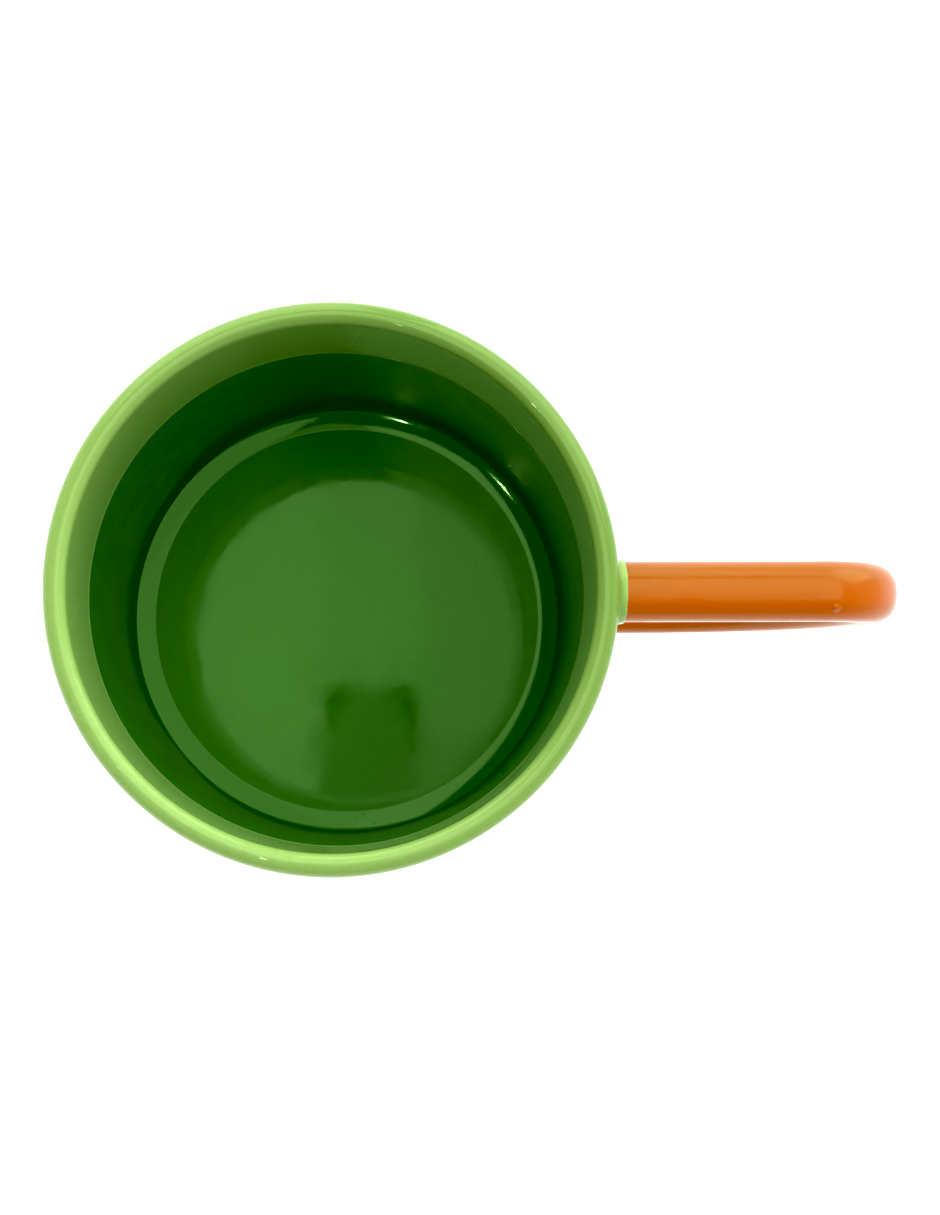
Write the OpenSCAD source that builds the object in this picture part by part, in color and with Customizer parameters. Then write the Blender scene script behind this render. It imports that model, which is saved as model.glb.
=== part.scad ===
// Handled mug: a straight-sided clay body on a low foot ring, a strap handle luted to its
// side with slip, and four coats of glaze. The lime coat wraps over the lip and ends inside
// in a rolled edge, below which the deep green coat lines the wall and the floor.
// Origin: centre of the foot, on the surface that the mug stands on. +Z is up and +X
// points to the handle.

/* [Body] */
// Outside diameter of the finished mug
mug_d = 82; // [70:0.5:100]
// Height from the foot to the top of the lip
mug_h = 95; // [80:0.5:120]
// Thickness of the finished wall at the lip
lip_t = 3.4; // [3:0.1:4.4]
// Radius of the lip's outer rounding
lip_outer_r = 2.0; // [1.2:0.1:2.2]
// Thickness of the finished wall just above the floor
base_wall_t = 3.8; // [3.4:0.1:5]
// Thickness of the finished floor beside the inner corner
floor_t = 4.8; // [3.6:0.1:7]
// Height of the floor's crown above its edge
floor_rise = 0.45; // [0.1:0.05:1.2]
// Radius of the inner corner between the wall and the floor
inner_corner_r = 3.4; // [2:0.1:8]
// Radius of the outer corner under the wall
outer_corner_r = 5; // [3:0.5:8]

/* [Foot] */
// Distance from the side of the mug to the outside of the foot ring
foot_inset = 5.5; // [4.5:0.1:10]
// Width of the foot ring
foot_w = 4; // [3:0.1:6]
// Height of the foot ring below the outer corner
foot_h = 1.2; // [0.8:0.1:2.5]
// Rounding of the foot ring's edges
foot_edge_r = 0.6; // [0.3:0.1:1]
// Depth of the recess inside the foot ring
recess_h = 2.2; // [1.6:0.1:3.5]
// Radius of the corner inside the recess
recess_corner_r = 1.2; // [0.8:0.1:1.6]

/* [Glaze] */
// Thickness of each coat of glaze
glaze_t = 0.4; // [0.25:0.05:0.5]
// Depth of the lime coat's inner edge below the lip
lime_depth = 26; // [15:0.5:40]
// Radius of the rolled edge where the lime coat ends
roll_r = 0.5; // [0.3:0.05:0.7]
// How far the rolled edge stands proud of the wall
roll_proud = 0.15; // [0.05:0.05:0.25]

/* [Handle] */
// Width of the finished strap
strap_w = 8.8; // [7.6:0.1:14]
// Thickness of the finished strap
strap_t = 7.6; // [6.6:0.1:9]
// Rounding of the strap's outer edges
strap_outer_r = 3.6; // [2:0.1:3.7]
// Rounding of the strap's inner edges
strap_inner_r = 2.4; // [1.2:0.1:2.8]
// Radius of the crown across the strap's outer face
strap_crown_r = 9; // [7:0.5:20]
// Depth of the upper root's centre below the lip
root_drop = 9.2; // [8:0.1:14]
// Upward slope of the arm that leaves the upper root, in degrees
arm_rise = 4; // [0:0.5:8]
// Length of the straight stub at each root before the strap bends
root_stub = 2.4; // [2.2:0.1:6]
// Radius of the bow that returns to the lower root, at the middle of the strap
bow_r = 36.6; // [30:0.1:44]
// Radius of the elbow between the arm and the bow, at the middle of the strap
elbow_r = 8; // [6:0.5:12]

/* [Joints] */
// Thickness of the slip between the wall and each end of the strap
slip_t = 0.7; // [0.5:0.05:1.2]
// How far the slip is squeezed out beyond the clay of the strap
slip_w = 0.6; // [0.3:0.05:1]
// How far the lime collar reaches out from the wall along the strap
collar_reach = 1; // [0.8:0.1:2]
// Thickness of the lime collar around the strap
collar_t = 0.4; // [0.2:0.05:0.7]

/* [Hidden] */
$fn = 96;

// Number of straight steps that draw the floor's crown
crown_steps = 12;
// Overrun of a cutting shape past what it cuts
overrun = 2;

// Radii of the finished outside, and of the clay under its glaze
outer_r = mug_d / 2;
clay_r = outer_r - glaze_t;
// Finished inside radii at the lip and at the floor
lip_inner_r = outer_r - lip_t;
base_inner_r = outer_r - base_wall_t;
// Height of the finished floor at its edge
floor_z = recess_h + floor_t;
// Crest of the lip, where its two roundings meet
lip_crest_r = outer_r - lip_outer_r;
lip_roll_r = lip_t - lip_outer_r;
// Outward lean of the inner wall from the floor to the lip's rounding, as a run over a rise
wall_lean = (lip_inner_r - base_inner_r) / (mug_h - lip_roll_r - floor_z);
// Height where the lime coat ends inside, and the finished wall's radius there
line_z = mug_h - lime_depth;
line_r = base_inner_r + wall_lean * (line_z - floor_z);

// Foot ring
foot_outer_r = outer_r - foot_inset;
foot_inner_r = foot_outer_r - foot_w;
// Height inside the foot ring up to which the clay stays bare
bare_h = recess_h / 2;

// A surface that runs inside the clay everywhere, so that it parts the coats of glaze
part_r = outer_r - lip_t / 2;
part_z = recess_h + floor_t / 2;

// Centre of the inner corner, and the slope at which the floor's crown meets it
corner_z = floor_z + inner_corner_r;
corner_r = base_inner_r + wall_lean * inner_corner_r
         - inner_corner_r * sqrt(1 + pow(wall_lean, 2));
crown_slope = 2 * floor_rise / corner_r;
crown_angle = atan(crown_slope);
wall_angle = atan(wall_lean);

// Handle: the bow is struck from a point on the middle line of the arm, a stub's length out
root_z = mug_h - root_drop;
bow_centre = [outer_r + root_stub, root_z];
lower_root_z = root_z - bow_r;
// The elbow touches the arm from below and the bow from within
elbow_dist = bow_r - elbow_r;
elbow_angle = arm_rise - asin(elbow_r / elbow_dist);
elbow_centre = bow_centre + elbow_dist * [cos(elbow_angle), sin(elbow_angle)];
// Stretch of strap that runs into the wall's clay, to be cut back to the joint
root_lap = lip_t / 2;
arm_start = bow_centre - (root_stub + root_lap) * [cos(arm_rise), sin(arm_rise)];
// Facets of the swept strap, along its bends and round its outline
elbow_parts = 14;
bow_parts = 16;
crown_parts = 2;
outer_parts = 6;
inner_parts = 4;

// Centres of the strap's outer edges, from which they meet the crowned face smoothly
edge_u = strap_w / 2 - strap_outer_r;
edge_angle = asin(edge_u / (strap_crown_r - strap_outer_r));
crown_v = strap_t / 2 - strap_crown_r;
edge_v = crown_v + (strap_crown_r - strap_outer_r) * cos(edge_angle);

lime = [0.48, 0.70, 0.26];
deep_green = [0.07, 0.33, 0.03];
orange = [0.82, 0.42, 0.12];
clay = [0.90, 0.87, 0.80];
slip = [0.84, 0.80, 0.72];

// A slice of a disc, less than half a turn wide, from angle a0 to angle a1
module slice(r, a0, a1) {
    far = 2 * r / cos((a1 - a0) / 2);
    mid = (a0 + a1) / 2;
    intersection() {
        circle(r);
        polygon([[0, 0], 2 * r * [cos(a0), sin(a0)], far * [cos(mid), sin(mid)],
                 2 * r * [cos(a1), sin(a1)]]);
    }
}

// Half section of the mug as if it were solid, from its axis out, set in by an even distance
module vessel_section(inset) {
    low_z = foot_h + inset;
    corner_top_z = foot_h + outer_corner_r;
    flat_r = outer_r - outer_corner_r;
    polygon([[0, low_z], [flat_r, low_z], [outer_r - inset, corner_top_z],
             [outer_r - inset, mug_h - lip_outer_r], [lip_crest_r, mug_h - inset],
             [lip_inner_r + inset, mug_h - lip_roll_r], [0, mug_h - lip_roll_r]]);
    translate([flat_r, corner_top_z]) slice(outer_corner_r - inset, -90, 0);
    translate([lip_crest_r, mug_h - lip_outer_r]) slice(lip_outer_r - inset, 0, 90);
    translate([lip_crest_r, mug_h - lip_roll_r]) slice(lip_roll_r - inset, 90, 180);
}

// Half section of the space inside the mug, grown by an even distance
module cavity_section(grow) {
    fillet_r = inner_corner_r + grow;
    join_r = corner_r - fillet_r * sin(crown_angle);
    join_z = corner_z - fillet_r * cos(crown_angle);
    slope_per_r = crown_slope / (2 * join_r);
    wall_foot = [corner_r + fillet_r * cos(wall_angle), corner_z - fillet_r * sin(wall_angle)];
    crown = [for (i = [0:crown_steps]) let (r = join_r * i / crown_steps)
        [r, join_z + slope_per_r * (pow(join_r, 2) - pow(r, 2))]];
    polygon(concat(crown, [wall_foot, [lip_inner_r + grow, mug_h - lip_roll_r],
                           [lip_inner_r + grow, mug_h + overrun], [0, mug_h + overrun]]));
    translate([corner_r, corner_z]) slice(fillet_r, -90 - crown_angle, -wall_angle);
}

// Half section of the recess under the base, grown by an even distance
module recess_section(grow) {
    top_z = recess_h + grow;
    side_r = foot_inner_r + grow;
    fillet_r = recess_corner_r + grow;
    polygon([[0, -overrun], [side_r, -overrun], [side_r, top_z - fillet_r],
             [side_r - fillet_r, top_z], [0, top_z]]);
    translate([side_r - fillet_r, top_z - fillet_r]) slice(fillet_r, 0, 90);
}

// Half section of the foot ring, which carries on up into the base
module foot_section() {
    up_z = foot_h + outer_corner_r;
    translate([foot_inner_r + foot_edge_r, 0])
        square([foot_w - 2 * foot_edge_r, up_z]);
    translate([foot_inner_r, foot_edge_r]) square([foot_w, up_z - foot_edge_r]);
    for (r = [foot_inner_r + foot_edge_r, foot_outer_r - foot_edge_r])
        translate([r, foot_edge_r]) circle(foot_edge_r);
}

// Half section of all the clay in the body
module clay_section() {
    difference() {
        union() {
            vessel_section(glaze_t);
            foot_section();
        }
        cavity_section(glaze_t);
        intersection() {
            recess_section(glaze_t);
            translate([0, bare_h]) square([outer_r, mug_h]);
        }
        recess_section(0);
    }
}

// Half section of the rolled edge where the lime coat ends
module roll_section() {
    translate([line_r - roll_proud + roll_r, line_z]) circle(roll_r);
}

// Outline of the strap across its middle line, set in by an even distance, as points whose
// x runs towards the outer face and whose y runs across the strap
function arc(centre, r, a0, a1, steps) =
    [for (i = [0:steps]) let (a = a0 + (a1 - a0) * i / steps) centre + r * [cos(a), sin(a)]];
function half_outline(inset) = concat(
    arc([crown_v, 0], strap_crown_r - inset, 0, edge_angle - edge_angle / crown_parts,
        crown_parts - 1),
    arc([edge_v, edge_u], strap_outer_r - inset, edge_angle, 90, outer_parts),
    arc([strap_inner_r - strap_t / 2, strap_w / 2 - strap_inner_r], strap_inner_r - inset,
        90, 180, inner_parts));
function strap_outline(inset) = let (half = half_outline(inset))
    concat(half, [for (i = [len(half) - 1:-1:1]) [half[i][0], -half[i][1]]]);

// Stations along the middle line: x, z and the angle of the outer side
function bend_stations(centre, r, a0, a1, first, steps) =
    [for (i = [first:steps]) let (a = a0 + (a1 - a0) * i / steps)
        [centre[0] + r * cos(a), centre[1] + r * sin(a), a]];
stations = concat(
    [[arm_start[0], arm_start[1], 90 + arm_rise]],
    bend_stations(elbow_centre, elbow_r, 90 + arm_rise, elbow_angle, 0, elbow_parts),
    bend_stations(bow_centre, bow_r, elbow_angle, -90, 1, bow_parts),
    [[outer_r - root_lap, lower_root_z, -90]]);

function strap_points(inset) = [for (s = stations) for (p = strap_outline(inset))
    [s[0] + p[0] * cos(s[2]), p[1], s[1] + p[0] * sin(s[2])]];
// Side faces of a swept skin of n points a station, from point number first on
function skin_faces(first, n, outward) = [for (k = [0:len(stations) - 2]) for (i = [0:n - 1])
    let (a = first + k * n, j = (i + 1) % n, quad = [a + i, a + j, a + n + j, a + n + i])
    outward ? quad : [quad[3], quad[2], quad[1], quad[0]]];

// The whole strap along its middle line: arm, elbow and bow, with both ends run into the wall
module strap(inset) {
    n = len(strap_outline(inset));
    last = (len(stations) - 1) * n;
    polyhedron(strap_points(inset), concat(skin_faces(0, n, true),
        [[for (i = [n - 1:-1:0]) i]], [[for (i = [0:n - 1]) last + i]]));
}

// The coat on the strap: the skin between its finished surface and its clay
module strap_coat() {
    n = len(strap_outline(0));
    count = len(stations) * n;
    last = count - n;
    ends = [for (i = [0:n - 1]) let (j = (i + 1) % n) each [
        [i, count + i, count + j, j],
        [last + i, last + j, count + last + j, count + last + i]]];
    polyhedron(concat(strap_points(0), strap_points(glaze_t)),
        concat(skin_faces(0, n, true), skin_faces(count, n, false), ends));
}

// The straight stretches of strap at both roots, from inside the wall to the stub's end
module root_stubs(inset) {
    for (stub = [[arm_start, arm_rise, root_lap + root_stub],
                 [[outer_r + root_stub, lower_root_z], 180, root_lap + root_stub]])
        translate([stub[0][0], 0, stub[0][1]]) rotate([0, 90 - stub[1], 0])
            linear_extrude(stub[2]) rotate(180) polygon(strap_outline(inset));
}

// The layer round the mug's axis from radius r on, as thick as given
module wall_layer(r, thickness) {
    linear_extrude(mug_h + strap_t) difference() {
        circle(r + thickness);
        circle(r);
    }
}

// The slip of both roots
module slip_joints() {
    intersection() {
        root_stubs(glaze_t - slip_w);
        wall_layer(clay_r, slip_t);
    }
}

module body() {
    color(clay) rotate_extrude() clay_section();
}

// The coats are what lies between the clay and the finished surfaces
module outer_glaze() {
    color(lime) difference() {
        union() {
            rotate_extrude() difference() {
                union() {
                    vessel_section(0);
                    roll_section();
                }
                difference() {
                    cavity_section(0);
                    roll_section();
                }
                clay_section();
                // What belongs to the lining, the base and the bare foot
                difference() {
                    translate([0, part_z]) square([part_r, line_z - part_z]);
                    roll_section();
                }
                square([foot_outer_r, part_z]);
            }
            intersection() {
                root_stubs(-collar_t);
                wall_layer(clay_r, glaze_t + collar_reach);
            }
        }
        root_stubs(glaze_t);
        slip_joints();
    }
}

module inner_glaze() {
    color(deep_green) rotate_extrude() difference() {
        intersection() {
            cavity_section(glaze_t);
            square([part_r, line_z]);
        }
        cavity_section(0);
        roll_section();
    }
}

module base_glaze() {
    color(lime) rotate_extrude() difference() {
        intersection() {
            recess_section(glaze_t);
            translate([0, bare_h]) square([part_r, mug_h]);
        }
        recess_section(0);
    }
}

module handle() {
    color(clay) difference() {
        strap(glaze_t);
        cylinder(r = clay_r + slip_t, h = mug_h + strap_t);
    }
}

module handle_glaze() {
    color(orange) difference() {
        strap_coat();
        cylinder(r = outer_r + collar_reach, h = mug_h + strap_t);
    }
}

module upper_slip_joint() {
    color(slip) intersection() {
        slip_joints();
        translate([0, 0, root_z - bow_r / 2]) cylinder(r = mug_d, h = bow_r);
    }
}

module lower_slip_joint() {
    color(slip) intersection() {
        slip_joints();
        cylinder(r = mug_d, h = root_z - bow_r / 2);
    }
}

body();
outer_glaze();
inner_glaze();
base_glaze();
handle();
handle_glaze();
upper_slip_joint();
lower_slip_joint();
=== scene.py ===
"""A straight-sided glazed mug with a strap handle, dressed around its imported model.

Lengths below are millimetres in the model's own frame, turned to metres where a mesh is
written: origin at the centre of the foot, +Z up, +X towards the handle.
"""

import math

import bmesh
import bpy
from mathutils import Matrix, Vector, noise


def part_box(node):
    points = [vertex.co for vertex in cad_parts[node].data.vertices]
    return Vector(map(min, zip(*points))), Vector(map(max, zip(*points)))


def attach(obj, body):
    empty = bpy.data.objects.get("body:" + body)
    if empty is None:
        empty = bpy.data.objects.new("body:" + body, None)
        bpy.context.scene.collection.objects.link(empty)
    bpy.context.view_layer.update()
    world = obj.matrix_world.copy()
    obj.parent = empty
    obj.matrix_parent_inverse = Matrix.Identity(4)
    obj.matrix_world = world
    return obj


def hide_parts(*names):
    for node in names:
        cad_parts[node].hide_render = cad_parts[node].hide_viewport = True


MM = 0.001
# In metres
MERGE_DISTANCE = 1e-7

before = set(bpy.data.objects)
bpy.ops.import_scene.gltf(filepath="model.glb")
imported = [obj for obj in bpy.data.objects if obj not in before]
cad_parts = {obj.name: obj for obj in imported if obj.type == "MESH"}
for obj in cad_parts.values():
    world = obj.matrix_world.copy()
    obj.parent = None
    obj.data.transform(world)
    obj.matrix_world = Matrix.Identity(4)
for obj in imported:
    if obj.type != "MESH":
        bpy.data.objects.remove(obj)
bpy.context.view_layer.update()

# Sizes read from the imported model
COAT_LOW, COAT_HIGH = [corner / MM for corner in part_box("outer_glaze")]
BODY_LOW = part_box("body")[0] / MM
STRAP_LOW, STRAP_HIGH = [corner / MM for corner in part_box("handle_glaze")]
OUTER_R = -COAT_LOW.x
MUG_H = COAT_HIGH.z
FOOT_H = COAT_LOW.z
GLAZE_T = OUTER_R + BODY_LOW.x
STRAP_W = STRAP_HIGH.y - STRAP_LOW.y

# Sizes of the vessel
LIP_T = 3.4
LIP_OUTER_R = 2.0
BASE_WALL_T = 3.8
RECESS_H = 2.2
FLOOR_T = 4.8
FLOOR_RISE = 0.45
INNER_CORNER_R = 3.4
SWEEP_R = 18.0
SWEEP_EDGE_R = 2.5
SWEEP_FROM = math.radians(7)
SWEEP_TO = math.radians(17)
OUTER_CORNER_R = 5.0
FOOT_SETBACK = 5.5
FOOT_RING_W = 4.0
FOOT_EDGE_R = 0.6
RECESS_CORNER_R = 1.2
LIME_DEPTH = 26.0

# Sizes of the handle
STRAP_T = 7.6
STRAP_OUTER_R = 3.6
STRAP_INNER_R = 2.4
STRAP_CROWN_R = 9.0
ROOT_BELOW_LIP = 9.2
ARM_RISE = math.radians(4)
ROOT_STUB = 2.4
BOW_R = 36.6
ELBOW_R = 8.0

# Sizes that follow from those
QUARTER_TURN = math.pi / 2
FOOT_OUTER_R = OUTER_R - FOOT_SETBACK
FOOT_INNER_R = FOOT_OUTER_R - FOOT_RING_W
LIP_ROLL_R = LIP_T - LIP_OUTER_R
LIP_CREST_R = OUTER_R - LIP_OUTER_R
LIP_INNER_R = OUTER_R - LIP_T
BASE_INNER_R = OUTER_R - BASE_WALL_T
FLOOR_Z = RECESS_H + FLOOR_T
WALL_LEAN = (LIP_INNER_R - BASE_INNER_R) / (MUG_H - LIP_ROLL_R - FLOOR_Z)
WALL_ANGLE = math.atan(WALL_LEAN)
ROOT_Z = MUG_H - ROOT_BELOW_LIP
CORNER_R = (BASE_INNER_R + WALL_LEAN * INNER_CORNER_R
            - INNER_CORNER_R * math.hypot(1, WALL_LEAN))
CROWN_SLOPE = 2 * FLOOR_RISE / CORNER_R
CROWN_ANGLE = math.atan(CROWN_SLOPE)

# Round the floor a sloped ring rises gently, and a tight arc joins it to the wall
SWEEP_EDGE_CENTRE = Vector((CORNER_R, FLOOR_Z + SWEEP_EDGE_R))
FROM_RAY = Vector((math.sin(SWEEP_FROM), -math.cos(SWEEP_FROM)))
TO_RAY = Vector((math.sin(SWEEP_TO), -math.cos(SWEEP_TO)))
SWEEP_CENTRE = SWEEP_EDGE_CENTRE + (SWEEP_EDGE_R - SWEEP_R) * FROM_RAY
SWEEP_END = SWEEP_CENTRE + SWEEP_R * TO_RAY
WALL_FOOT_R = ((BASE_INNER_R + WALL_LEAN * (SWEEP_END.y - FLOOR_Z) - SWEEP_END.x)
               / (math.hypot(1, WALL_LEAN) - TO_RAY.x + WALL_LEAN * TO_RAY.y))
WALL_FOOT_CENTRE = SWEEP_END - WALL_FOOT_R * TO_RAY

# Mesh steps: points in a turn, lengths along straight stretches, and angles along arcs
TURNS = 320
LINE_STEP = 2.0
WALL_STEP = 1.5
CROWN_STEP = 1.2
STRAP_LINE_STEP = 0.9
OUTLINE_LINE_STEP = 0.5
FOOT_FACE_STEP = 0.4
FOOT_SIDE_STEP = 0.2
LEAST_RING_GAP = 0.2
ARC_STEP = math.radians(8)
SWEEP_STEP = math.radians(0.8)
SWEEP_EDGE_STEP = math.radians(1.5)
STRAP_CROWN_STEP = math.radians(2.2)
STRAP_OUTER_STEP = math.radians(7)
STRAP_INNER_STEP = math.radians(10)
ELBOW_STEP = math.radians(4)
BOW_STEP = math.radians(1.3)
EDGE_STEPS = 6
BEHIND_EDGE_SHARES = (1.25, 1.6, 2.0, 2.5, 3.2, 4.2)
COLLAR_STEPS = 7
COLLAR_EDGE_STEPS = 4
ROOT_STEPS = 5

# How the glazes lie
SINK = 0.06
LIME_EDGE_W = 0.45
LIME_BEAD = 0.09
LIME_BEAD_AT = 0.6
LIME_BEAD_W = 0.45
LINE_WANDER = 0.16
FOOT_EDGE_WANDER = 0.22
# The wavelengths of both, as shares of the radius
LINE_WAVE = 0.55
FOOT_WAVE = 0.3
COAT_RIPPLE = 0.05
# The strap's ripples, this many times narrower across it than along it
STRAP_WAVES = ((0.7, 12), (0.3, 4))
ACROSS_STRAP = 3
# Sets the noise of one seed apart from the next one's
SEED_SLANT = 2.3
LINING_LAP = 0.9
LINING_EDGE_W = 0.7
# Where the lime coat begins outside the foot ring, and the base's coat inside it
LIME_START = 0.5
LIME_START_W = 0.4
BASE_START = 0.3
BASE_START_W = 0.35
# How thin the glazes are, from 0 to 1, and how far from a place they are so; some of these values
# paint light or shade instead, as the notes by them say
CREST_THIN = 0.04
CREST_THIN_W = 2.2
LIME_START_THIN = 0.5
LIME_START_THIN_W = 0.5
LIME_EDGE_THIN = 0.35
LIME_EDGE_THIN_W = 0.25
SIDE_THIN = 0.6
# Painted light: how far the lip and inner band are painted pale on the side opposite the darkest
# one
LIP_PAINTED_LIGHT = 0.95
# Painted light on the lining: from this far before the wall's foot, over this length, the floor
# and its ring take the pale green and are glossy
FLOOR_GLOSS_AND_PAINTED_LIGHT_FROM = -12
FLOOR_GLOSS_AND_PAINTED_LIGHT_OVER = 13
BASE_START_THIN = 0.5
BASE_START_THIN_W = 0.4
# Painted shade on the top of the elbow, at the strap's far end, in the orange's darker pale
# colour
ELBOW_PAINTED_SHADE = 0.6
ELBOW_PAINTED_SHADE_W = 3.0
ELBOW_PAINTED_SHADE_BELOW = 2
# Painted shade on the strap: where its normal turns up, and towards +Y, it takes the orange's
# pale colour, which is darker than its full one
PAINTED_TOP_SHADE_UP = 0.3
PAINTED_TOP_SHADE_FROM = -0.3
PAINTED_TOP_SHADE_OVER = 0.9
# Painted light and shade on the lime glaze: the lip's crest and its inner wall are painted
# darkest on these sides and palest on the opposite ones; INNER_SPREAD widens the pale side on the
# inner wall
PAINTED_SHADE_SIDE = math.radians(45)
PAINTED_SHADE_SIDE_IN = math.radians(28)
INNER_SPREAD = 0.5
COLLAR_SPREAD = 1.5
COLLAR_REACH = 1.5
COLLAR_LIFT = 0.22
COLLAR_SUNK = 0.5
COLLAR_WAVER = 0.12
COLLAR_WAVE = 1.4
COLLAR_WAVE_R = 3
# A small pimple in the orange glaze, on top of the elbow
PIMPLE = (72.35, -2.8, 91.1)
PIMPLE_R = 0.9
PIMPLE_LIFT = 0.35


def ripple(place, wavelength, seed):
    """Smooth noise from about -1 to 1 at a place, the same on every run."""
    return noise.noise(Vector(place) / wavelength + Vector((seed, SEED_SLANT * seed, -seed)))


def smooth_step(x):
    """0 below 0, 1 above 1, and a smooth rise between."""
    x = min(max(x, 0.0), 1.0)
    return x * x * (3 - 2 * x)


def round_edge(x):
    """The height of a quarter-round edge, from 0 where x is 0 to 1 where x is 1 and over."""
    return math.sqrt(1 - (1 - min(max(x, 0.0), 1.0)) ** 2)


def bell(x):
    """A smooth hump, 1 at 0."""
    return math.exp(-x * x)


class Line:
    """A straight stretch of a section. side 1 has the normal on the right of its run."""

    def __init__(self, start, end, side, step=LINE_STEP):
        self.start = Vector(start)
        run = Vector(end) - self.start
        self.length, self.step = run.length, step
        self.along = run / self.length
        self.normal = side * Vector((self.along.y, -self.along.x))

    def at(self, s):
        return self.start + s * self.along, self.normal


class Arc:
    """A round stretch of a section. side 1 has the normal pointing away from its centre."""

    def __init__(self, centre, radius, a0, a1, side, step=ARC_STEP):
        self.centre, self.radius = Vector(centre), radius
        self.a0, self.a1, self.side = a0, a1, side
        self.length = radius * abs(a1 - a0)
        self.step = radius * step

    def at(self, s):
        a = self.a0 + (self.a1 - self.a0) * s / self.length
        ray = Vector((math.cos(a), math.sin(a)))
        return self.centre + self.radius * ray, self.side * ray


class Crown:
    """The floor's crown, from its edge to the axis."""

    def __init__(self, edge_r, edge_z, step=CROWN_STEP):
        self.edge_r, self.edge_z, self.length, self.step = edge_r, edge_z, edge_r, step
        self.rise = CROWN_SLOPE / (2 * edge_r)

    def at(self, s):
        r = self.edge_r - s
        z = self.edge_z + self.rise * (self.edge_r ** 2 - r ** 2)
        return Vector((r, z)), Vector((2 * self.rise * r, 1)).normalized()


class Section:
    """Stretches joined end to end, read by the length run along them."""

    def __init__(self, *stretches):
        self.stretches = stretches
        self.starts = [sum(part.length for part in stretches[:i]) for i in range(len(stretches))]
        self.length = sum(part.length for part in stretches)

    def at(self, s):
        s = min(max(s, 0.0), self.length)
        i = max(k for k, start in enumerate(self.starts) if start <= s)
        return self.stretches[i].at(min(s - self.starts[i], self.stretches[i].length))

    def marks(self, low, high):
        """Lengths between low and high at which a mesh of the section has a ring."""
        out = []
        for start, part in zip(self.starts, self.stretches):
            count = max(1, math.ceil(part.length / part.step))
            out += [start + part.length * i / count for i in range(count)]
        return [s for s in out if low < s < high]


def vessel_section(inset):
    """The outside, the lip and the inside of the vessel, set in from its finished surface."""
    flat_r = OUTER_R - OUTER_CORNER_R
    corner_top_z = FOOT_H + OUTER_CORNER_R
    foot_r, edge_r = WALL_FOOT_R + inset, SWEEP_EDGE_R + inset
    wall_foot = WALL_FOOT_CENTRE + foot_r * Vector((math.cos(WALL_ANGLE), -math.sin(WALL_ANGLE)))
    return Section(
        Line((FOOT_OUTER_R, FOOT_H + inset), (flat_r, FOOT_H + inset), 1),
        Arc((flat_r, corner_top_z), OUTER_CORNER_R - inset, -QUARTER_TURN, 0, 1),
        Line((OUTER_R - inset, corner_top_z), (OUTER_R - inset, MUG_H - LIP_OUTER_R), 1),
        Arc((LIP_CREST_R, MUG_H - LIP_OUTER_R), LIP_OUTER_R - inset, 0, QUARTER_TURN, 1),
        Arc((LIP_CREST_R, MUG_H - LIP_ROLL_R), LIP_ROLL_R - inset, QUARTER_TURN, math.pi, 1),
        Line((LIP_INNER_R + inset, MUG_H - LIP_ROLL_R), wall_foot, 1, WALL_STEP),
        Arc(WALL_FOOT_CENTRE, foot_r, -WALL_ANGLE, SWEEP_TO - QUARTER_TURN, -1),
        Arc(SWEEP_CENTRE, SWEEP_R + inset, SWEEP_TO - QUARTER_TURN, SWEEP_FROM - QUARTER_TURN, -1,
            SWEEP_STEP),
        Arc(SWEEP_EDGE_CENTRE, edge_r, SWEEP_FROM - QUARTER_TURN, -QUARTER_TURN - CROWN_ANGLE, -1,
            SWEEP_EDGE_STEP),
        Crown(CORNER_R - edge_r * math.sin(CROWN_ANGLE),
              SWEEP_EDGE_CENTRE.y - edge_r * math.cos(CROWN_ANGLE)))


def recess_section(inset):
    """The recess under the base, from the side of the foot ring to the axis."""
    top_z = RECESS_H + inset
    fillet_r = RECESS_CORNER_R + inset
    centre = (FOOT_INNER_R + inset - fillet_r, top_z - fillet_r)
    return Section(Arc(centre, fillet_r, 0, QUARTER_TURN, -1),
                   Line((centre[0], top_z), (0, top_z), -1))


def loft(name, rings, thin_and_painted_light=None):
    """A closed mesh through rings of points, the last joined to the first.

    Its third argument gives, ring by ring, a share from 0 to 1 at each point: how thin the glaze
    is, and on some coats where light or shade is painted.
    """
    bm = bmesh.new()
    layer = bm.verts.layers.float.new("thin_and_painted_light")
    grid = []
    for k, ring in enumerate(rings):
        row = [bm.verts.new(Vector(point) * MM) for point in ring]
        for j, vert in enumerate(row):
            vert[layer] = thin_and_painted_light[k][j] if thin_and_painted_light else 0.0
        grid.append(row)
    count = len(grid[0])
    for k, row in enumerate(grid):
        following = grid[(k + 1) % len(grid)]
        for j in range(count):
            i = (j + 1) % count
            bm.faces.new((row[j], row[i], following[i], following[j]))
    bmesh.ops.remove_doubles(bm, verts=bm.verts, dist=MERGE_DISTANCE)
    bmesh.ops.recalc_face_normals(bm, faces=bm.faces)
    mesh = bpy.data.meshes.new(name)
    bm.to_mesh(mesh)
    bm.free()
    mesh.polygons.foreach_set("use_smooth", [True] * len(mesh.polygons))
    piece = bpy.data.objects.new(name, mesh)
    bpy.context.scene.collection.objects.link(piece)
    return piece


def turned(profile):
    """A ring round the axis. profile(angle) gives its radius and height there."""
    ring = []
    for j in range(TURNS):
        angle = 2 * math.pi * j / TURNS
        r, z = profile(angle)
        ring.append((r * math.cos(angle), r * math.sin(angle), z))
    return ring


def line_wander(angle):
    """How far the edge between the two glazes strays at an angle round the mug."""
    return LINE_WANDER * ripple((math.cos(angle), math.sin(angle), 0), LINE_WAVE, seed=3)


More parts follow.
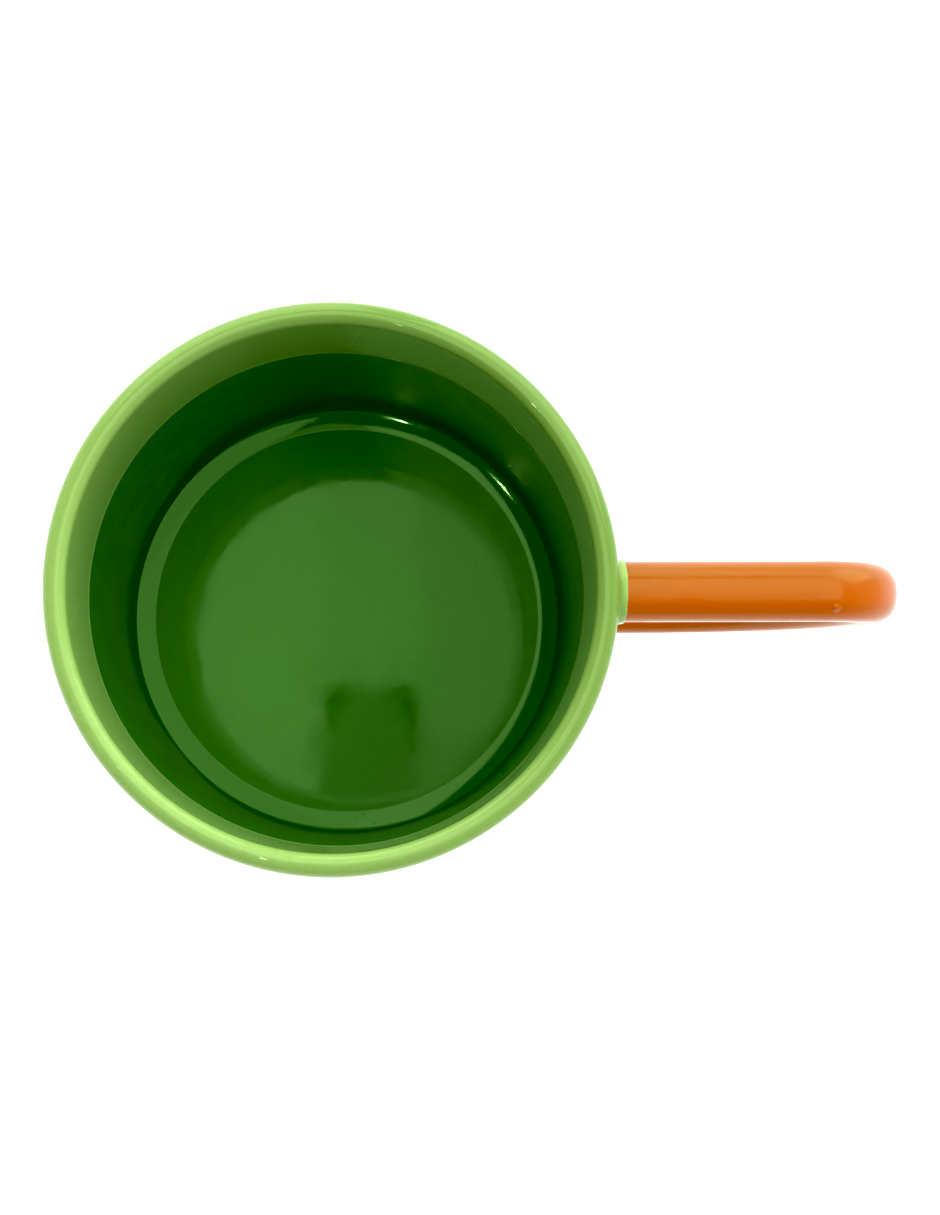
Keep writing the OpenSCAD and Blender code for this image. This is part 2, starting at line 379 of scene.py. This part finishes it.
def foot_wander(angle):
    """How far a glaze edge at the foot strays at an angle round the mug."""
    return FOOT_EDGE_WANDER * ripple((math.cos(angle), math.sin(angle), 1), FOOT_WAVE, seed=8)


def dip(place, seed, waves):
    """How far a coat's face lies over its nominal one: 0 or less, by its ripples.

    Each wave is its share and its wavelength, and takes the next seed.
    """
    height = sum(share * ripple(place, wavelength, seed + i)
                 for i, (share, wavelength) in enumerate(waves))
    return COAT_RIPPLE * (height - 1) / 2


def edge_marks(width):
    """Distances from a coat's edge at which its rounding has a ring."""
    rounding = [width * (1 - math.cos(QUARTER_TURN * i / EDGE_STEPS))
                for i in range(EDGE_STEPS + 1)]
    return rounding + [width * share for share in BEHIND_EDGE_SHARES]


class Coat:
    """A skin of glaze over a section, from one length along it to another.

    Each kind says how its edges shift, how thin it is and where light or shade is painted on it,
    and which ripples it has.
    """

    # How far in from an edge its wander is felt
    zone = 5.0
    seed = 0
    waves = ()

    def __init__(self, section, start, end, start_w, end_w):
        self.section, self.start, self.end = section, start, end
        self.start_w, self.end_w = start_w, end_w

    def thickness(self, from_end, place):
        return GLAZE_T + dip(place, self.seed, self.waves)

    def build(self, name):
        marks = []
        if self.start_w:
            marks += [self.start + d for d in edge_marks(self.start_w)]
        low = marks[-1] if marks else self.start
        tail = [self.end - d for d in reversed(edge_marks(self.end_w))] if self.end_w else []
        high = tail[0] if tail else self.end
        marks += self.section.marks(low + LEAST_RING_GAP, high - LEAST_RING_GAP)
        marks += tail or [self.end]
        rings, thin_and_painted_light = [], []
        for s in marks:
            from_start, from_end = s - self.start, self.end - s

            def skin(angle):
                point, normal = self.section.at(s + self.shift(from_start, from_end, angle))
                place = (point.x * math.cos(angle), point.x * math.sin(angle), point.y)
                t = self.thickness(from_end, place)
                if self.start_w:
                    t *= round_edge(from_start / self.start_w)
                if self.end_w:
                    t *= round_edge(from_end / self.end_w)
                return max(point.x + t * normal.x, 0.0), point.y + t * normal.y

            rings.append(turned(skin))
            thin_and_painted_light.append([self.thin_and_painted_light(s, from_start, from_end, 2 * math.pi * j / TURNS)
                         for j in range(TURNS)])
        backs = [self.end] + list(reversed(self.section.marks(self.start, self.end)))
        for s in backs + [self.start]:
            from_start, from_end = s - self.start, self.end - s

            def back(angle):
                point, normal = self.section.at(s + self.shift(from_start, from_end, angle))
                return max(point.x - SINK * normal.x, 0.0), point.y - SINK * normal.y

            rings.append(turned(back))
            thin_and_painted_light.append([0.0] * TURNS)
        return loft(name, rings, thin_and_painted_light)


CLAY = vessel_section(GLAZE_T)
# Lengths along the clay where its stretches begin, but for the corner's and the floor's
AT_FOOT = CLAY.starts[0]
AT_SIDE, AT_LIP, AT_CREST, AT_INSIDE, AT_WALL_FOOT = CLAY.starts[2:7]
AT_LINE = AT_INSIDE + (LIME_DEPTH - LIP_ROLL_R) * math.hypot(1, WALL_LEAN)


class LimeCoat(Coat):
    """From the foot up the outside, over the lip and down to the beaded edge inside."""

    seed = 1
    waves = ((0.6, 17), (0.4, 6))

    def shift(self, from_start, from_end, angle):
        return (foot_wander(angle) * smooth_step(1 - from_start / self.zone)
                + line_wander(angle) * smooth_step(1 - from_end / self.zone))

    def thickness(self, from_end, place):
        bead = LIME_BEAD * bell((from_end - LIME_BEAD_AT) / LIME_BEAD_W)
        return super().thickness(from_end, place) + bead

    def thin_and_painted_light(self, s, from_start, from_end, angle):
        upward = smooth_step((s - AT_SIDE) / (AT_LIP - AT_SIDE))
        inward = smooth_step((s - AT_CREST) / (AT_INSIDE - AT_CREST))
        # Painted light and shade: the lip and the inner band are painted pale on one side and
        # deep on the other
        darkest_side = PAINTED_SHADE_SIDE + (PAINTED_SHADE_SIDE_IN - PAINTED_SHADE_SIDE) * inward
        painted_light_share = (1 - math.cos(angle - darkest_side)) / 2
        painted_light_share **= 1 - INNER_SPREAD * inward
        crest = CREST_THIN * bell((s - AT_CREST) / CREST_THIN_W)
        edges = (LIME_START_THIN * bell(from_start / LIME_START_THIN_W)
                 + LIME_EDGE_THIN * bell(from_end / LIME_EDGE_THIN_W))
        wall = SIDE_THIN * (1 - upward) + LIP_PAINTED_LIGHT * upward * painted_light_share
        return min(crest + edges + wall, 1.0)


class GreenCoat(Coat):
    """The lining, from under the lime coat's edge to the middle of the floor."""

    seed = 4
    waves = ((0.6, 15), (0.4, 5))

    def shift(self, from_start, from_end, angle):
        return line_wander(angle) * smooth_step(1 - from_start / self.zone)

    def thin_and_painted_light(self, s, from_start, from_end, angle):
        # Painted light: the floor and its ring take the pale green, and are glossier than the
        # satin wall
        return smooth_step((s - AT_WALL_FOOT - FLOOR_GLOSS_AND_PAINTED_LIGHT_FROM) / FLOOR_GLOSS_AND_PAINTED_LIGHT_OVER)


class BaseCoat(Coat):
    """The coat in the recess under the base."""

    zone = 1.2
    seed = 6
    waves = ((1, 9),)

    def shift(self, from_start, from_end, angle):
        return foot_wander(angle + 1) * smooth_step(1 - from_start / self.zone)

    def thin_and_painted_light(self, s, from_start, from_end, angle):
        return BASE_START_THIN * bell(from_start / BASE_START_THIN_W)


def make_clay_body():
    """The clay of the vessel, as one closed turned form with its foot ring."""
    recess = recess_section(GLAZE_T)
    inner = (FOOT_INNER_R + FOOT_EDGE_R, FOOT_EDGE_R)
    outer = (FOOT_OUTER_R - FOOT_EDGE_R, FOOT_EDGE_R)
    foot = Section(
        Line(recess.at(0)[0], (FOOT_INNER_R, FOOT_EDGE_R), 1, FOOT_SIDE_STEP),
        Arc(inner, FOOT_EDGE_R, math.pi, 3 * QUARTER_TURN, 1),
        Line((inner[0], 0), (outer[0], 0), 1, FOOT_FACE_STEP),
        Arc(outer, FOOT_EDGE_R, -QUARTER_TURN, 0, 1),
        Line((FOOT_OUTER_R, FOOT_EDGE_R), (FOOT_OUTER_R, FOOT_H + GLAZE_T), 1, FOOT_SIDE_STEP))
    path = [recess.at(s)[0] for s in reversed([0.0] + recess.marks(0, recess.length))]
    path = [Vector((0, RECESS_H + GLAZE_T))] + path
    path += [foot.at(s)[0] for s in foot.marks(0, foot.length)]
    path += [CLAY.at(s)[0] for s in [0.0] + CLAY.marks(0, CLAY.length) + [CLAY.length]]
    rings = [turned(lambda angle: (max(point.x, 0.0), point.y)) for point in path]
    return loft("clay_body", rings)


# The strap's outline: v towards the outer face, u across it
EDGE_U = STRAP_W / 2 - STRAP_OUTER_R
EDGE_ANGLE = math.asin(EDGE_U / (STRAP_CROWN_R - STRAP_OUTER_R))
CROWN_V = STRAP_T / 2 - STRAP_CROWN_R
EDGE_V = CROWN_V + (STRAP_CROWN_R - STRAP_OUTER_R) * math.cos(EDGE_ANGLE)
INNER_V = STRAP_INNER_R - STRAP_T / 2
INNER_U = STRAP_W / 2 - STRAP_INNER_R
HALF_OUTLINE = Section(
    Arc((CROWN_V, 0), STRAP_CROWN_R, 0, EDGE_ANGLE, 1, STRAP_CROWN_STEP),
    Arc((EDGE_V, EDGE_U), STRAP_OUTER_R, EDGE_ANGLE, QUARTER_TURN, 1, STRAP_OUTER_STEP),
    Line((EDGE_V, STRAP_W / 2), (INNER_V, STRAP_W / 2), 1, OUTLINE_LINE_STEP),
    Arc((INNER_V, INNER_U), STRAP_INNER_R, QUARTER_TURN, math.pi, 1, STRAP_INNER_STEP),
    Line((-STRAP_T / 2, INNER_U), (-STRAP_T / 2, 0), 1, OUTLINE_LINE_STEP))


def strap_outline():
    """Points of the strap's outline with their normals, all the way round."""
    marks = [0.0] + HALF_OUTLINE.marks(0, HALF_OUTLINE.length) + [HALF_OUTLINE.length]
    half = [HALF_OUTLINE.at(s) for s in marks]
    flip = Vector((1, -1))
    return half + [(p * flip, n * flip) for p, n in reversed(half[1:-1])]


BOW_CENTRE = Vector((OUTER_R + ROOT_STUB, ROOT_Z))
ELBOW_ANGLE = ARM_RISE - math.asin(ELBOW_R / (BOW_R - ELBOW_R))
ELBOW_CENTRE = BOW_CENTRE + (BOW_R - ELBOW_R) * Vector((math.cos(ELBOW_ANGLE),
                                                        math.sin(ELBOW_ANGLE)))
ARM_ALONG = Vector((math.cos(ARM_RISE), math.sin(ARM_RISE)))
ARM_END = ELBOW_CENTRE + ELBOW_R * Vector((-math.sin(ARM_RISE), math.cos(ARM_RISE)))
STRAP_LINE = Section(
    Line(BOW_CENTRE, ARM_END, -1, STRAP_LINE_STEP),
    Arc(ELBOW_CENTRE, ELBOW_R, QUARTER_TURN + ARM_RISE, ELBOW_ANGLE, 1, ELBOW_STEP),
    Arc(BOW_CENTRE, BOW_R, ELBOW_ANGLE, -QUARTER_TURN, 1, BOW_STEP))
ROOTS = {"upper": (0.0, -ARM_ALONG), "lower": (STRAP_LINE.length, Vector((-1, 0)))}


def strap_point(s, p, n, lift):
    """A point over the strap's outline at a length along its middle line."""
    middle, normal = STRAP_LINE.at(s)
    q = p + lift * n
    return Vector((middle.x + q.x * normal.x, q.y, middle.y + q.x * normal.y))


def slide_to_wall(point, along, radius, share=1.0):
    """A point slid along the strap towards the wall, until it is at that radius."""
    reach = (math.sqrt(radius ** 2 - point.y ** 2) - point.x) / along.x
    return point + share * reach * Vector((along.x, 0, along.y))


def strap_rings(lift):
    """Rings of the strap from wall to wall. lift(s, p, n) is the height over the outline."""
    outline = strap_outline()
    inside_wall = OUTER_R - GLAZE_T / 2

    def ring(s, along=None, share=0.0):
        points = [strap_point(s, p, n, lift(s, p, n)) for p, n in outline]
        return [slide_to_wall(q, along, inside_wall, share) if share else q for q in points]

    upper, lower = ROOTS["upper"], ROOTS["lower"]
    rings = [ring(upper[0], upper[1], 1 - i / ROOT_STEPS) for i in range(ROOT_STEPS)]
    rings += [ring(s) for s in [0.0] + STRAP_LINE.marks(0, STRAP_LINE.length)]
    rings += [ring(lower[0], lower[1], i / ROOT_STEPS) for i in range(ROOT_STEPS + 1)]
    return rings


def make_strap_coat():
    """The orange coat: a skin round the whole strap, open where it meets the wall."""

    def skin(s, p, n):
        place = (s, ACROSS_STRAP * p.x, ACROSS_STRAP * p.y)
        return dip(place, 11, STRAP_WAVES)

    outer = strap_rings(skin)
    inner = strap_rings(lambda s, p, n: -GLAZE_T - SINK)
    outline = strap_outline()
    # Painted shade: the strap's upward-facing top and the top of its elbow take the orange's
    # darker pale colour
    top = [smooth_step(n.x / PAINTED_TOP_SHADE_UP) * smooth_step((n.y - PAINTED_TOP_SHADE_FROM) / PAINTED_TOP_SHADE_OVER)
           for p, n in outline]
    low_z = ELBOW_CENTRE.y - ELBOW_PAINTED_SHADE_BELOW
    elbow = [ELBOW_PAINTED_SHADE * bell((ring[0].x - STRAP_HIGH.x) / ELBOW_PAINTED_SHADE_W) * (ring[0].z > low_z)
             for ring in outer]
    thin_and_painted_light = [[max(t, e * smooth_step(n.x)) for t, (p, n) in zip(top, outline)] for e in elbow]
    thin_and_painted_light += [[0.0] * len(outline) for ring in inner]
    return loft("orange_coat", outer + list(reversed(inner)), thin_and_painted_light)


def make_collar(root):
    """The lime glaze that laps from the wall onto one end of the strap."""
    s, along = ROOTS[root]
    outline = strap_outline()
    spread, reach, lift, sunk = COLLAR_SPREAD, COLLAR_REACH, COLLAR_LIFT, -COLLAR_SUNK
    # Half section of the collar: distance over the strap, and distance out from the wall
    sweep = [QUARTER_TURN * i / COLLAR_STEPS for i in range(COLLAR_STEPS + 1)]
    edge = [QUARTER_TURN * i / COLLAR_EDGE_STEPS for i in range(1, COLLAR_EDGE_STEPS + 1)]
    curve = [(spread - (spread - lift) * math.sin(a), (reach - lift) * (1 - math.cos(a)))
             for a in sweep]
    curve += [(lift * math.cos(a), reach - lift + lift * math.sin(a)) for a in edge]
    curve += [(sunk, reach - lift), (sunk, sunk), (spread, sunk)]
    rings, thin_and_painted_light = [], []
    for over, out in curve:
        ring = []
        for p, n in outline:
            place = (COLLAR_WAVE_R * n.x, COLLAR_WAVE_R * n.y, s)
            waver = 1 + COLLAR_WAVER * ripple(place, COLLAR_WAVE, seed=15) if out > 0 else 1
            point = strap_point(s, p, n, over)
            onto_wall = slide_to_wall(point, along, OUTER_R)
            ring.append(onto_wall - out * waver * Vector((along.x, 0, along.y)))
        rings.append(ring)
        thin_and_painted_light.append([smooth_step(out / reach)] * len(outline))
    return loft(root + "_collar", rings, thin_and_painted_light)


# Most of the noise node's values lie between these
NOISE_LOW = 0.3
NOISE_HIGH = 0.7
# The share of a spot's radius within which it is full
SPOT_HEART_SHARE = 0.45


class Nodes:
    """Short names for the nodes of one material."""

    def __init__(self, name):
        self.material = bpy.data.materials.new(name)
        self.material.use_nodes = True
        self.tree = self.material.node_tree
        self.shader = self.tree.nodes["Principled BSDF"]
        self.place = self.add("ShaderNodeTexCoord").outputs["Object"]

    def add(self, kind, **fields):
        node = self.tree.nodes.new(kind)
        for field, value in fields.items():
            setattr(node, field, value)
        return node

    def link(self, source, socket):
        self.tree.links.new(source, socket)

    def noise(self, size, detail, stretch=(1, 1, 1)):
        """Noise from 0 to 1 whose features are about size millimetres across."""
        mapping = self.add("ShaderNodeMapping")
        mapping.inputs["Scale"].default_value = [k / (size * MM) for k in stretch]
        self.link(self.place, mapping.inputs["Vector"])
        node = self.add("ShaderNodeTexNoise")
        node.inputs["Scale"].default_value = 1.0
        node.inputs["Detail"].default_value = detail
        self.link(mapping.outputs[0], node.inputs["Vector"])
        return node.outputs["Fac"]

    def spots(self, spacing, size):
        """1 in small round spots about spacing millimetres apart, and 0 elsewhere."""
        node = self.add("ShaderNodeTexVoronoi")
        node.inputs["Scale"].default_value = 1 / (spacing * MM)
        self.link(self.place, node.inputs["Vector"])
        share = size / spacing
        return self.ramp(node.outputs["Distance"], low=share, high=SPOT_HEART_SHARE * share)

    def near(self, centre, radius):
        """1 at a place, and 0 from radius millimetres away from it."""
        node = self.add("ShaderNodeVectorMath", operation="DISTANCE")
        node.inputs[1].default_value = Vector(centre) * MM
        self.link(self.place, node.inputs[0])
        return self.ramp(node.outputs["Value"], low=radius * MM, high=0.0)

    def ramp(self, value, low, high, to_low=0.0, to_high=1.0):
        node = self.add("ShaderNodeMapRange", interpolation_type="SMOOTHSTEP")
        for socket, number in zip(("From Min", "From Max", "To Min", "To Max"),
                                  (low, high, to_low, to_high)):
            node.inputs[socket].default_value = number
        self.link(value, node.inputs["Value"])
        return node.outputs["Result"]

    def maths(self, operation, a, b):
        node = self.add("ShaderNodeMath", operation=operation)
        for socket, value in zip(node.inputs, (a, b)):
            if isinstance(value, (int, float)):
                socket.default_value = value
            else:
                self.link(value, socket)
        return node.outputs[0]

    def clouds(self, size, detail, to_low=0.0, to_high=1.0, stretch=(1, 1, 1)):
        """Soft patches about size millimetres across, from to_low to to_high."""
        patches = self.noise(size, detail, stretch)
        return self.ramp(patches, NOISE_LOW, NOISE_HIGH, to_low, to_high)

    def mix(self, factor, a, b):
        node = self.add("ShaderNodeMix", data_type="RGBA")
        self.link(factor, node.inputs[0])
        for socket, value in ((node.inputs[6], a), (node.inputs[7], b)):
            if isinstance(value, tuple):
                socket.default_value = (*value, 1)
            else:
                self.link(value, socket)
        return node.outputs[2]

    def attribute(self, name):
        return self.add("ShaderNodeAttribute", attribute_name=name).outputs["Fac"]

    def bump(self, height, depth, under=None):
        """Relief of depth millimetres where height goes from 0 to 1."""
        node = self.add("ShaderNodeBump")
        node.inputs["Strength"].default_value = 1.0
        node.inputs["Distance"].default_value = depth * MM
        self.link(height, node.inputs["Height"])
        if under:
            self.link(under, node.inputs["Normal"])
        return node.outputs["Normal"]


CLOUD_STRENGTH = 0.5
MOTTLE_SIZE = 1.6
# Small dark specks: how strong they are, and their shade as a share of the deep colour
SPECK_STRENGTH = 0.55
SPECK_SHADE = 0.35
# A glaze's roughness varies between these shares of its nominal one
SMOOTH_SHARE = 0.7
ROUGH_SHARE = 1.5
# A high power keeps the satin wherever the glaze isn't quite thin
SATIN_FALL = 12


def glaze(name, deep, full, pale, tint, cloud=14, streak=(1, 1, 1), roughness=0.06,
          satin=0.0, ior=1.55, pimple=None):
    """A glossy glaze: deep where it pools, and its pale colour where it runs thin over an edge
    and where light or shade is painted on.
    """
    m = Nodes(name)
    clouds = m.clouds(cloud, detail=4.0, to_high=CLOUD_STRENGTH, stretch=streak)
    colour = m.mix(clouds, full, deep)
    mottle = m.noise(MOTTLE_SIZE, detail=2.0, stretch=streak)
    uneven = m.ramp(mottle, low=0.2, high=0.8, to_low=0.75, to_high=1.0)
    thin_and_painted_light = m.attribute("thin_and_painted_light")
    # The pale colour follows the per-point share: thin glaze, and painted light or shade on some
    # coats
    colour = m.mix(m.maths("MULTIPLY", thin_and_painted_light, uneven), colour, pale)
    colour = m.mix(m.ramp(mottle, low=0.45, high=0.75, to_high=0.16), colour, deep)
    specks = m.maths("MULTIPLY", m.spots(spacing=7.5, size=0.22), SPECK_STRENGTH)
    colour = m.mix(specks, colour, tuple(SPECK_SHADE * c for c in deep))
    m.link(colour, m.shader.inputs["Base Color"])
    polish = m.clouds(5, detail=3.0, to_low=SMOOTH_SHARE * roughness,
                      to_high=ROUGH_SHARE * roughness)
    thick = m.maths("SUBTRACT", 1, m.maths("POWER", thin_and_painted_light, SATIN_FALL))
    rough = m.maths("ADD", polish, m.maths("MULTIPLY", thick, satin))
    m.link(rough, m.shader.inputs["Roughness"])
    m.shader.inputs["IOR"].default_value = ior
    m.shader.inputs["Specular Tint"].default_value = (*tint, 1)
    soft = m.bump(m.noise(3.2, detail=2.0), depth=0.004)
    relief = m.bump(m.spots(spacing=4.3, size=0.16), depth=-0.03, under=soft)
    if pimple:
        relief = m.bump(m.near(pimple, PIMPLE_R), depth=PIMPLE_LIFT, under=relief)
    m.link(relief, m.shader.inputs["Normal"])
    return m.material


FLECK = (0.16, 0.10, 0.06)
FLECK_STRENGTH = 0.6


def fired_clay(name, colour, dark):
    """Matt fired clay with a fine grain and small dark flecks."""
    m = Nodes(name)
    grain = m.noise(0.35, detail=4.0)
    tone = m.mix(m.clouds(9, detail=3.0, to_high=CLOUD_STRENGTH), colour, dark)
    tone = m.mix(m.ramp(grain, low=0.5, high=0.8, to_high=0.4), tone, dark)
    flecks = m.maths("MULTIPLY", m.spots(spacing=1.7, size=0.16), FLECK_STRENGTH)
    tone = m.mix(flecks, tone, FLECK)
    m.link(tone, m.shader.inputs["Base Color"])
    rough = m.ramp(grain, low=0.2, high=0.8, to_low=0.6, to_high=0.85)
    m.link(rough, m.shader.inputs["Roughness"])
    m.link(m.bump(grain, depth=0.05), m.shader.inputs["Normal"])
    return m.material


# Its pale colour is real thin glaze at edges, and painted light on the pale side of the lip and
# inner band
LIME = glaze("lime_glaze_gloss", deep=(0.112, 0.240, 0.033), full=(0.140, 0.272, 0.040),
             pale=(0.315, 0.540, 0.130), tint=(0.85, 1.0, 0.6), roughness=0.03, ior=1.46)
# Its pale colour shows only on the floor and its ring, where it is painted light
GREEN = glaze("deep_green_glaze_gloss", deep=(0.001, 0.102, 0.001), full=(0.002, 0.122, 0.001),
              pale=(0.032, 0.200, 0.005), tint=(0.42, 1.0, 0.27), satin=0.16, ior=1.5)
# Its pale colour is darker than its full one and paints shade on the strap's top and elbow
ORANGE = glaze("orange_glaze_gloss", deep=(0.48, 0.090, 0.004), full=(0.52, 0.104, 0.006),
               pale=(0.34, 0.095, 0.012), tint=(0.65, 0.75, 0.30), cloud=6,
               streak=(0.25, 1, 1), roughness=0.17, ior=1.5, pimple=PIMPLE)
CLAY_LOOK = fired_clay("fired_clay_matt", colour=(0.76, 0.69, 0.56), dark=(0.60, 0.50, 0.37))
SLIP_LOOK = fired_clay("fired_slip_matt", colour=(0.66, 0.58, 0.45), dark=(0.52, 0.42, 0.30))


def finish_piece(piece, look, slot, *nodes):
    """Gives a piece its material and its body, and hides the model's parts it stands for."""
    piece.data.materials.append(look)
    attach(piece, "root")
    if nodes:
        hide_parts(*nodes)


finish_piece(make_clay_body(), CLAY_LOOK, "clay", "body")
LIME_COAT = LimeCoat(CLAY, AT_FOOT + LIME_START, AT_LINE, LIME_START_W, LIME_EDGE_W)
finish_piece(LIME_COAT.build("lime_coat"), LIME, "lime_glaze", "outer_glaze")
GREEN_COAT = GreenCoat(CLAY, AT_LINE - LINING_LAP, CLAY.length, LINING_EDGE_W, 0)
finish_piece(GREEN_COAT.build("green_coat"), GREEN, "deep_green_glaze", "inner_glaze")
RECESS = recess_section(GLAZE_T)
BASE_COAT = BaseCoat(RECESS, BASE_START, RECESS.length, BASE_START_W, 0)
finish_piece(BASE_COAT.build("base_coat"), LIME, "lime_glaze", "base_glaze")
finish_piece(make_strap_coat(), ORANGE, "orange_glaze", "handle_glaze")
for root_name in ROOTS:
    finish_piece(make_collar(root_name), LIME, "lime_glaze")

for node_name, node_look in (("handle", CLAY_LOOK), ("upper_slip_joint", SLIP_LOOK),
                             ("lower_slip_joint", SLIP_LOOK)):
    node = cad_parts[node_name]
    node.data.materials.clear()
    node.data.materials.append(node_look)


# The lights, in metres: each panel's shape, west, east, south and north edges, and radiance
PANELS = {"west_panel": ("RECTANGLE", -0.28, -0.061, -0.22, 0.7, 3.05),
          "middle_panel": ("RECTANGLE", -0.061, 0.044, 0.0, 0.7, 2.7),
          "east_panel": ("RECTANGLE", 0.044, 0.7, -0.06, 0.7, 2.3),
          "notch_panel": ("ELLIPSE", -0.061, 0.044, -0.25, 0.0, 1.1),
          "south_panel": ("RECTANGLE", 0.044, 0.7, -0.45, -0.06, 2.0)}
PANEL_Z = 1.3
# Each softbox's direction from the mug and its radiance
SOFTBOXES = {"key_softbox": ((0.58, 0.65, 0.48), 2.8),
             "fill_softbox": ((-0.35, 0.95, 0.5), 2.2)}
SOFTBOX_AWAY = 1.4
SOFTBOX_W = 1.2
BRIGHT_SIDE = (0.30, 0.35, -0.85)
# The tent's light over the cosine of the angle to its bright side
TENT = {"From Min": -0.86, "From Max": 0.1, "To Min": 0.35, "To Max": 1.15}
FLOOR_W = 3.0
FLOOR_TONE = 0.85
FLOOR_ROUGHNESS = 0.7
FLOOR_GLOW = 0.6
LAMPS = {"lamp_a": (-0.145, -0.385), "lamp_b": (-0.345, -0.212)}
LAMP_AWAY = 2.2
LAMP_W = 0.05
LAMP_LIGHT = 130
AREA_SHARES = {"RECTANGLE": 1.0, "ELLIPSE": math.pi / 4}
# Linear light under which the picture is black
BLACK = 0.015


def make_floor():
    """A pale floor that glows a little, as a light table does."""
    bm = bmesh.new()
    bmesh.ops.create_grid(bm, x_segments=4, y_segments=4, size=FLOOR_W / 2)
    mesh = bpy.data.meshes.new("studio_floor")
    bm.to_mesh(mesh)
    bm.free()
    floor = bpy.data.objects.new("studio_floor", mesh)
    bpy.context.scene.collection.objects.link(floor)
    m = Nodes("pale_floor")
    m.shader.inputs["Base Color"].default_value = (FLOOR_TONE, FLOOR_TONE, FLOOR_TONE, 1)
    m.shader.inputs["Roughness"].default_value = FLOOR_ROUGHNESS
    m.shader.inputs["Emission Color"].default_value = (1, 1, 1, 1)
    m.shader.inputs["Emission Strength"].default_value = FLOOR_GLOW
    mesh.materials.append(m.material)


def make_light(name, shape, towards, distance, radiance, width, depth):
    """A soft light at a distance in metres from the mug, turned to face it."""
    data = bpy.data.lights.new(name, "AREA")
    data.shape, data.size, data.size_y = shape, width, depth
    data.energy = radiance * math.pi * width * depth * AREA_SHARES[shape]
    light = bpy.data.objects.new(name, data)
    direction = Vector(towards).normalized()
    light.location = direction * distance
    light.rotation_euler = direction.to_track_quat("Z", "Y").to_euler()
    bpy.context.scene.collection.objects.link(light)
    return light


def make_surroundings():
    """A white tent, brighter towards BRIGHT_SIDE."""
    world = bpy.data.worlds.new("studio")
    world.use_nodes = True
    tree = world.node_tree
    place = tree.nodes.new("ShaderNodeTexCoord")
    facing = tree.nodes.new("ShaderNodeVectorMath")
    facing.operation = "DOT_PRODUCT"
    facing.inputs[1].default_value = Vector(BRIGHT_SIDE).normalized()
    ramp = tree.nodes.new("ShaderNodeMapRange")
    for socket, number in TENT.items():
        ramp.inputs[socket].default_value = number
    tree.links.new(place.outputs["Generated"], facing.inputs[0])
    tree.links.new(facing.outputs["Value"], ramp.inputs["Value"])
    background = tree.nodes["Background"]
    background.inputs["Color"].default_value = (1, 1, 1, 1)
    tree.links.new(ramp.outputs["Result"], background.inputs["Strength"])
    bpy.context.scene.world = world


def make_lights():
    """Soft panels overhead, two wide softboxes from the far side and small lamps."""
    make_surroundings()
    for name, (shape, west, east, south, north, radiance) in PANELS.items():
        width, depth = east - west, north - south
        panel = make_light(name, shape, (0, 0, 1), PANEL_Z, radiance, width, depth)
        panel.location = ((west + east) / 2, (south + north) / 2, PANEL_Z)
    for name, (towards, radiance) in SOFTBOXES.items():
        make_light(name, "RECTANGLE", towards, SOFTBOX_AWAY, radiance, SOFTBOX_W, SOFTBOX_W)
    for name, towards in LAMPS.items():
        make_light(name, "ELLIPSE", (*towards, 1), LAMP_AWAY, LAMP_LIGHT, LAMP_W, LAMP_W)


# The photograph's frame and what was read in it, in pixels
PHOTO_W = 940
PHOTO_H = 1215
RIM_CENTRE_PX = (331.7, 588.1)
RIM_RADIUS_PX = 288.8
NADIR_PX = (410, 748)
# Height of the camera over the lip
CAMERA_OVER_LIP = 344
SENSOR_W = 36
# In metres
CLIP_NEAR = 0.01
CLIP_FAR = 20


def make_camera():
    """The photograph's camera, looking down into the mug from over its lower right."""
    px_per_mm = RIM_RADIUS_PX / OUTER_R
    focal_px = px_per_mm * (CAMERA_OVER_LIP + LIP_OUTER_R)
    data = bpy.data.cameras.new("photo_camera")
    data.sensor_fit = "AUTO"
    data.sensor_width = SENSOR_W
    data.lens = focal_px / PHOTO_H * SENSOR_W
    data.clip_start, data.clip_end = CLIP_NEAR, CLIP_FAR
    camera = bpy.data.objects.new("photo_camera", data)
    bpy.context.scene.collection.objects.link(camera)
    down_x = (NADIR_PX[0] - PHOTO_W / 2) / focal_px
    down_y = -(NADIR_PX[1] - PHOTO_H / 2) / focal_px
    forward = Vector((-down_x, -down_y, -1)).normalized()
    right = forward.cross(Vector((0, 1, 0))).normalized()
    up = right.cross(forward)
    turn = Matrix((right, up, -forward)).transposed().to_4x4()
    place = Vector(((NADIR_PX[0] - RIM_CENTRE_PX[0]) / px_per_mm,
                    -(NADIR_PX[1] - RIM_CENTRE_PX[1]) / px_per_mm, MUG_H + CAMERA_OVER_LIP))
    camera.matrix_world = Matrix.Translation(place * MM) @ turn
    bpy.context.scene.camera = camera
    view = bpy.context.scene.view_settings
    view.view_transform = "Standard"
    view.use_curve_mapping = True
    view.curve_mapping.black_level = (BLACK, BLACK, BLACK)
    view.curve_mapping.update()


make_floor()
make_lights()
make_camera()
